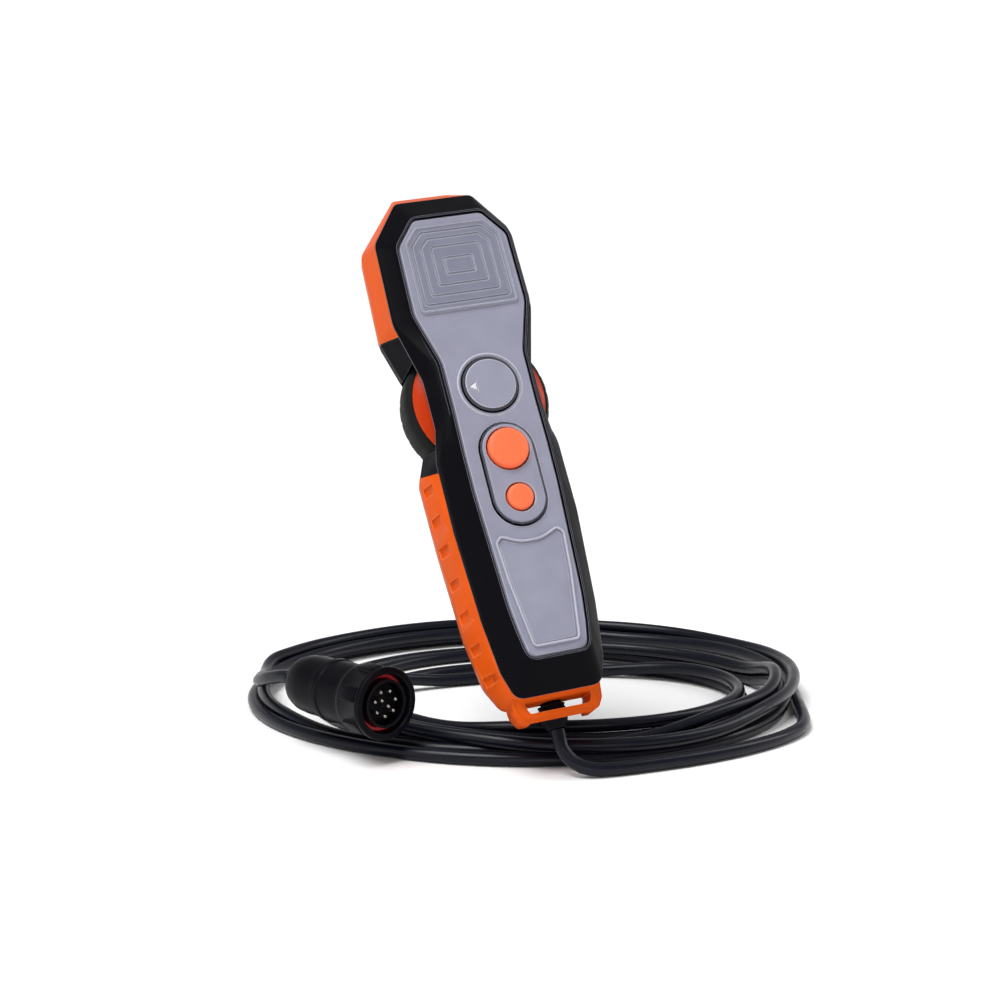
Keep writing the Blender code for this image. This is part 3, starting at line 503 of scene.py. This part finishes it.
def plate_face():
    """The grey plate, with a bevelled edge and a raised rim round the dial."""
    section = [(-2, -0.2), (-0.55, -0.2), (0, -0.85)]
    rings = [ring_at(FACE_LINE, z, grow) for z, grow in section]
    plate = put("plate_face", loft("plate_face", rings, 20), "grey_plastic", replaces=["face_plate"])
    rim = [(12.4, -1), (14.2, -1), (14.2, 0.05), (13.95, 0.3), (13.3, 0.3), (12.9, 0.05)]
    carve(plate, turned("rim", rim), operation="UNION")
    bore = [(0, -5), (12.7, -5), (12.7, -0.15), (13.2, 0.35), (13.2, 2), (0, 2)]
    carve(plate, turned("bore", bore))
    carve(plate, slot_mesh(-5, 5))
    edge = [stadium(ISLAND + grow, LARGE_Y, SMALL_Y, z) for z, grow in ((-0.45, 0), (0.05, 0.45))]
    carve(plate, loft("edge", edge))


def pad_head():
    """The stepped head pad: a bead round it, then four shallow terraces towards its middle."""
    bead, *terraces = (full(step) for step in PAD_STEPS)
    section = [(0.02, 0.3), (0.3, 0.05), (0.85, -0.05), (1.15, -0.3), (1.15, -0.8), (0.55, -1.15),
               (0.55, -1.3), (0.66, -1.6)]
    rings = [ring_at(bead, z, grow) for z, grow in section]
    level = section[-1][0]
    for line in terraces:
        groove = level - TERRACE_DROP
        rings += [ring_at(line, level, 0.4), ring_at(line, groove, 0.05), ring_at(line, groove, -0.1)]
        level += TERRACE_LIFT
        rings.append(ring_at(line, level, -0.6))
    put("pad_head", loft("pad_head", rings, 18), "grey_pad", replaces=["head_pad"])


def badge_panel():
    """A blank name panel: a raised bead round a flat field."""
    line = full(BADGE)
    section = [(0.3, -0.19), (0.1, 0.35), (-0.05, 0.9), (-0.3, 1.2), (-0.8, 1.2), (-1.08, 0.9),
               (-1.16, -0.15), (-1.62, -0.15), (-1.7, 0.14), (-2.1, 0.14)]
    rings = [ring_at(line, z, grow) for grow, z in section]
    put("badge_panel", loft("badge_panel", rings, 18), "grey_plastic", replaces=["badge_plate"])


def side_x(y, z):
    """Half-width of the rear half's skin at a place on its straight flank."""
    share = (PARTING - z) / (PARTING - WIDEST)

    def along(rows):
        for (x1, y1, *_), (x2, y2, *_) in zip(rows, rows[1:]):
            if y1 >= y >= y2:
                return x1 + (x2 - x1) * (y1 - y) / (y1 - y2)
        return rows[-1][0]
    return along(RIM) * (1 - share) + along(SIDE) * share


def copied(name):
    """A copy of a CAD node's mesh in the body's frame, for a piece made from it."""
    original = frame["nodes"][name]
    mesh = original.data.copy()
    mesh.transform(BODY.inverted() @ original.matrix_world)
    return mesh


def grip():
    """The orange grip and loop, with a row of shallow oblong marks down each flank."""
    piece = put("grip_marked", copied("grip_frame"), "orange_plastic", replaces=["grip_frame"])
    for y in GRIP_MARKS:
        x = side_x(y, MARK_Z) + MARK_HALF.x - MARK_DEPTH
        lean = atan((side_x(y, PARTING) - side_x(y, WIDEST)) / (PARTING - WIDEST))
        for side in (1, -1):
            mark = block("mark", -MARK_HALF, MARK_HALF, MARK_EDGE)
            place = Matrix.Translation((side * x * MM, y * MM, MARK_Z * MM))
            carve(piece, mark, BODY @ place @ Matrix.Rotation(side * lean, 4, "Y"))


def head_tapered(name, replaced, slot):
    """A CAD piece whose head narrows and rises a little towards the back."""
    mesh = copied(replaced)
    for vertex in mesh.vertices:
        towards_top = ease((vertex.co.y / MM - HEAD_FROM) / HEAD_OVER)
        share = towards_top * ease((PARTING - vertex.co.z / MM) / BACK_OVER)
        vertex.co.x *= 1 - HEAD_NARROW * share
        vertex.co.y += HEAD_RISE * share * MM
    smooth(mesh)
    put(name, mesh, slot, replaces=[replaced])


def rear():
    """The orange head guard and the black rear half under it."""
    head_tapered("guard_tapered", "head_guard", "orange_plastic")
    head_tapered("rear_tapered", "rear_shell", "black_matte")


def key_cover():
    """The grey plate round the two buttons, with eased edges."""
    edges = [(0.3, 11.0), (1.45, 11.0), (1.75, 10.75), (1.9, 10.3)]
    rings = [stadium(radius, LARGE_Y, SMALL_Y, z) for z, radius in edges]
    cover = put("key_cover", loft("key_cover", rings, 20), "grey_plastic", replaces=["key_plate"])
    for y, radius in ((LARGE_Y, LARGE_BORE), (SMALL_Y, SMALL_BORE)):
        wide = radius + BORE_EASE
        bore = turned("bore", [(0, -4), (radius, -4), (radius, 1.5), (wide, 2), (wide, 4), (0, 4)])
        bore.transform(Matrix.Translation((0, y * MM, 0)))
        carve(cover, bore)


def wheel():
    """The thumbwheel: a domed orange hub in a ribbed rubber tyre."""
    crown = [(r, DOME_FOOT + DOME_RISE * (1 - (r / DOME_RADIUS) ** 2))
             for r in (DOME_RADIUS, 27, 25, 22, 18, 14, 9, 5, 3.3)]
    hub = [(3.3, -30), (6.5, -30), (6.5, -23), (25, -23), (25, -37), (27, -37), (27, -19.8),
           (29.4, -19.8), (29.4, -18.9)]
    put("wheel_dome", turned("wheel_dome", hub + crown, 120), "orange_gloss", body="dial",
        replaces=["wheel_hub"])
    tyre = [(27.3, -37), (27.3, -20.1), (30.2, -20.1), (30.7, -20.3), (31.9, -22), (32.4, -25),
            (32.4, -32), (31.9, -35), (30.7, -36.8), (30.2, -37)]
    mesh = turned("wheel_grip", tyre, TYRE_STEPS, 28)
    for vertex in mesh.vertices:
        radius = vertex.co.xy.length
        turn = round(atan2(vertex.co.y, vertex.co.x) / (2 * pi) * TYRE_STEPS) % TYRE_STEPS
        if radius > TYRE_TREAD * MM and turn % TYRE_RIB == 0:
            vertex.co.xy *= 1 - TYRE_GROOVE * MM / radius
    smooth(mesh, 28)
    put("wheel_grip", mesh, "black_rubber", body="dial", replaces=["wheel_tyre"])


def screws():
    """The housing screws in the back, each with a cross recess."""
    for k in range(1, SCREWS + 1):
        name = f"housing_screw_{k}"
        mesh = copied(name)
        centre = sum((v.co for v in mesh.vertices), Vector()) / len(mesh.vertices)
        screw = put(f"screw_{k}", mesh, "steel", replaces=[name])
        for turn in (0, 90):
            cross = block("cross", CROSS_LOW, CROSS_HIGH, 0.05)
            place = Matrix.Translation((centre.x, centre.y, 0))
            carve(screw, cross, BODY @ place @ Matrix.Rotation(radians(turn), 4, "Z"))


# ---------------------------------------------------------------- gland and connector

# Turned outlines, as radius and z in mm. The connector's z is 0 at the front of the coupling ring,
# and the gland nut's is 0 where the cable leaves it. Both are negative inwards.
GLAND_NUT = [(3.3, -2.1), (4.7, -2.1), (4.7, -10.2), (5.9, -10.2), (5.9, -4.4), (5.2, -2.1), (4, 0),
             (3.3, 0)]
BOOT = [(3.3, -50), (7.7, -50), (7.7, -58.3), (6.8, -60), (4.5, -BOOT_END), (3.3, -BOOT_END)]
BARREL = [(10.4, -0.1), (10.4, -12.8), (13.3, -12.8), (13.3, -17.3), (14.2, -17.3), (14.2, -18.6),
          (13.5, -19.2), (13.5, -32.4), (14, -33), (14, -35.8), (13.4, -36.4), (13.4, -38),
          (10.4, -38), (10.4, -26), (9, -26), (9, -20), (9.4, -20), (9.4, -0.1)]
BACK_NUT = [(10.1, -28), (10.1, -38.3), (13, -38.3), (13.1, -48), (12.6, -54), (11.2, -58),
            (8, -58), (8, -28)]
CORE = [(0, -25.5), (8.6, -25.5), (8.6, -5), (0, -5)]
PIN = [(0, -12), (0.8, -12), (0.8, -1), (0.4, -0.4), (0, -0.4)]
GASKET = [(10.6, -6), (12.4, -6), (12.4, -4.4), (12, -4), (11, -4), (10.6, -4.4)]
RING = [(13.6, -17), (14.7, -17), (14.95, -16.6), (15.1, -14.5), (15.1, -3.2), (15.3, -2.9),
        (15.9, -2.3), (15.9, -0.9), (15.7, -0.3), (15.2, 0), (13.2, 0), (12.6, -0.8), (12.6, -12.5),
        (13.6, -12.5)]
OUTER_PINS, OUTER_SPREAD = 7, 5.6
INNER_PINS, INNER_SPREAD = 2, 2.2
RING_PADS, RING_PADS_FROM = 6, radians(20)
RING_PAD_LOW, RING_PAD_HIGH, RING_PAD_EDGE = (14.2, -3.3, -13.4), (15.85, 3.3, -3.6), 0.6


def ribbed(profile, start, stop, count, depth):
    """Adds ring grooves to the run of a turned profile that goes from one height to another."""
    out = []
    for (r1, z1), (r2, z2) in zip(profile, profile[1:]):
        out.append((r1, z1))
        if (z1, z2) != (start, stop):
            continue
        for k in range(count):
            for share, cut in ((0.15, 0), (0.35, depth), (0.65, depth), (0.85, 0)):
                t = (k + share) / count
                out.append((r1 + (r2 - r1) * t - cut, z1 + (z2 - z1) * t))
    out.append(profile[-1])
    return out


def on_plug(name, profile, slot, replaced, segments=96, at=PLUG):
    return put(name, turned(name, profile, segments, 30), slot, at=at, replaces=[replaced])


def sleeves():
    """The gland's ribbed nut, and the ribbed boot behind the connector, which it returns."""
    at = BODY @ Matrix.Translation(GLAND_END * MM) @ Matrix.Rotation(radians(90), 4, "X")
    on_plug("gland_ribs", ribbed(GLAND_NUT, -10.2, -4.4, 3, 0.3), "black_cover", "gland_nut", 64, at)
    return on_plug("boot_ribs", ribbed(BOOT, -60, -BOOT_END, 3, 0.6), "black_cover",
                   "connector_boot", 64)


def plug_body():
    """The connector inside its ring: barrel with collars, back nut, core, pins and red gasket."""
    pieces = [on_plug("plug_barrel", BARREL, "black_cover", "connector_body"),
              on_plug("plug_nut", BACK_NUT, "black_cover", "connector_back_nut"),
              on_plug("plug_core", CORE, "black_cover", "contact_insert", 64)]
    spots = [(OUTER_SPREAD, 2 * pi * k / OUTER_PINS) for k in range(OUTER_PINS)]
    spots += [(INNER_SPREAD, pi * (k + 1)) for k in range(INNER_PINS)]
    for number, (spread, angle) in enumerate(spots, 1):
        spot = Matrix.Translation(Vector((spread * cos(angle), spread * sin(angle), 0)) * MM)
        pieces.append(on_plug(f"plug_pin_{number}", PIN, "contact_metal", f"contact_pin_{number}", 16,
                              PLUG @ spot))
    return pieces + [on_plug("plug_gasket", GASKET, "red_seal", "connector_seal")]


def coupling():
    """The connector's coupling ring, with its grip pads."""
    ring = put("coupling_grip", turned("coupling_grip", RING, 120, 30), "black_cover",
               body="plug_ring", at=PLUG, replaces=["coupling_ring"])
    for k in range(RING_PADS):
        pad = block("pad", RING_PAD_LOW, RING_PAD_HIGH, RING_PAD_EDGE)
        turn = Matrix.Rotation(2 * pi * k / RING_PADS + RING_PADS_FROM, 4, "Z")
        carve(ring, pad, PLUG @ turn, "UNION")
    return ring


# ---------------------------------------------------------------- cable

CORD = 6.0 * MM
# All below is in mm over the floor. REST is the height of the cable's middle where it lies.
REST = 3.05
LEAD_ROUTE = [(20.6, -29.2, 10.6), (25.5, -32.2, 6.0), (33, -33, 3.6), (44.6, -29.5, REST),
              (62, -21.5, REST), (80, -11.8, REST), (102, 4, REST), (121, 24, REST), (131.5, 47, REST)]
TAIL_ROUTE = [(-117, 90, 13.9), (-117, 77, 15.4), (-115.5, 64, 18.6), (-111, 53, 22.2),
              (-104.5, 43.9, 25.0)]
COIL_START = radians(-15)
# Each loop's middle x and y, half width and half depth.
OUTER_LOOP = (1, 107, 133.5, 135.5)
INNER_LOOP = (27, 88, 79, 54)
# The coil winds in, then out again, and goes part of the way round once more on top.
INWARD_TURNS, OUTWARD_END, TURNS = 5.35, 6.0, 6.53
LAST_ROUND = 0.96
# The passes draw together in a few bunches, and sway as (size, waves per turn, twist).
CLUMPS, CLUMPING = 3, 0.075
SWAY = ((2.4, 2, 5), (1.6, 3, -8))
# Crossing stretches press together a little, a stretch doesn't climb over the one just behind it,
# within so many diameters, and it climbs over others by a long low ramp.
PRESSED, CLEAR_OF, RAMP = 0.985, 4, 30
# The ends start a little inside their sleeves and run straight out of them.
SUNK, STRAIGHT = 0.3, 5
TURN_POINTS, CURVE_POINTS, STEP = 40, 8, 4.0
# Both ends follow their routes' heights, and pass over to the coil's by the end of their run.
LEAD_RUN, LEAD_FREE = 110, 0.6
TAIL_RUN, TAIL_FREE = 125, 0.5


def coil_share(turn):
    """How far in a turn lies, from 0 on the outermost loop to 1 on the innermost."""
    if turn > OUTWARD_END:
        return LAST_ROUND * coil_share(turn - OUTWARD_END)
    if turn > INWARD_TURNS:
        return 1 - ease((turn - INWARD_TURNS) / (OUTWARD_END - INWARD_TURNS))
    part = turn / INWARD_TURNS
    return part + CLUMPING * sin(2 * pi * CLUMPS * part)


def coil_point(turn):
    """Where the loose coil runs over the floor."""
    share = coil_share(turn)
    x, y, wide, deep = (a + (b - a) * share for a, b in zip(OUTER_LOOP, INNER_LOOP))
    a = COIL_START + 2 * pi * turn
    sway = ease(4 * turn) * sum(size * sin(waves * a + twist * share) for size, waves, twist in SWAY)
    return Vector((x + (wide + sway) * cos(a), y + (deep + sway) * sin(a), REST))


def spline_through(route, per):
    """Points of a smooth curve through a route, a number of them for each of its steps."""
    padded = [2 * route[0] - route[1]] + route + [2 * route[-1] - route[-2]]
    out = []
    for a, p, q, d in zip(padded, padded[1:], padded[2:], padded[3:]):
        for k in range(per):
            t = k / per
            out.append(0.5 * (2 * p + (q - a) * t + (2 * a - 5 * p + 4 * q - d) * t ** 2
                              + (3 * p - a - 3 * q + d) * t ** 3))
    out.append(route[-1])
    return out


def evenly(points):
    """Points a step apart along a line of points."""
    travelled = np.concatenate([[0], np.cumsum(np.linalg.norm(np.diff(points, axis=0), axis=1))])
    goals = np.linspace(0, travelled[-1], int(round(travelled[-1] / STEP)) + 1)
    return np.stack([np.interp(goals, travelled, points[:, i]) for i in range(3)], axis=1)


def stacked(path):
    """Heights that carry each stretch of the cable over the stretches laid before it."""
    across = CORD / MM * PRESSED
    apart = int(CLEAR_OF * across / STEP)
    need = path[:, 2].copy()
    for i in range(apart, len(path)):
        gap = np.hypot(*(path[:i - apart, :2] - path[i, :2]).T)
        near = gap < across
        if near.any():
            over = need[:i - apart][near] + np.sqrt(across ** 2 - gap[near] ** 2)
            need[i] = max(need[i], over.max())
    reach = int(RAMP / STEP)
    half = reach // 2
    wide = np.array([need[max(0, i - half):i + half + 1].max() for i in range(len(path))])
    kernel = np.hanning(2 * reach + 3)[1:-1]
    return np.convolve(np.pad(wide, reach, mode="edge"), kernel / kernel.sum(), mode="valid")


def cable_path():
    """The cable's middle line from the gland to the connector's boot, and where it leaves."""
    exit_at = BODY @ (GLAND_END * MM) / MM
    boot = (PLUG_AT - PLUG_AXIS * BOOT_END * MM) / MM
    lead = [exit_at - UP * SUNK, exit_at - UP * STRAIGHT] + [Vector(p) for p in LEAD_ROUTE]
    count = int(TURNS * TURN_POINTS)
    loops = [coil_point(TURNS * k / count) for k in range(count + 1)]
    tail = [Vector(p) for p in TAIL_ROUTE]
    tail += [boot - PLUG_AXIS * STRAIGHT, boot - PLUG_AXIS * SUNK]
    route = spline_through(lead + loops[1:-1] + tail, CURVE_POINTS)
    path = evenly(np.array([tuple(p) for p in route]))
    lead_points = int(LEAD_RUN / STEP)
    tail_points = int(TAIL_RUN / STEP)
    heights = stacked(path)
    for i in range(len(path)):
        from_lead = ease((i - lead_points * LEAD_FREE) / (lead_points * (1 - LEAD_FREE)))
        from_tail = ease((len(path) - 1 - i - tail_points * TAIL_FREE)
                         / (tail_points * (1 - TAIL_FREE)))
        share = min(from_lead, from_tail)
        path[i, 2] = max(path[i, 2] * (1 - share) + heights[i] * share, REST)
    return path * MM, exit_at * MM


def lay_cable():
    """The whole cable as one cord, from the gland to the connector's boot."""
    path, exit_at = cable_path()
    curve = bpy.data.curves.new("cable", "CURVE")
    curve.dimensions = "3D"
    curve.bevel_depth = CORD / 2
    curve.bevel_resolution = 5
    curve.use_fill_caps = True
    spline = curve.splines.new("POLY")
    spline.points.add(len(path) - 1)
    for point, place in zip(spline.points, path):
        point.co = (*place, 1)
    spline.use_smooth = True
    obj = bpy.data.objects.new("cable", curve)
    bpy.context.scene.collection.objects.link(obj)
    curve.materials.append(MATS["cable_sheath"])
    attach(obj, "housing")
    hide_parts("cord_coil", "cord_lead", "cord_tail")


camera()
stage()
MATS = finishes()
dress_nodes()
ON_CABLE = [sleeves(), coupling()] + plug_body()
lay_cable()
for build in (shell_front, plate_face, pad_head, badge_panel, grip, rear, key_cover, wheel, screws):
    build()
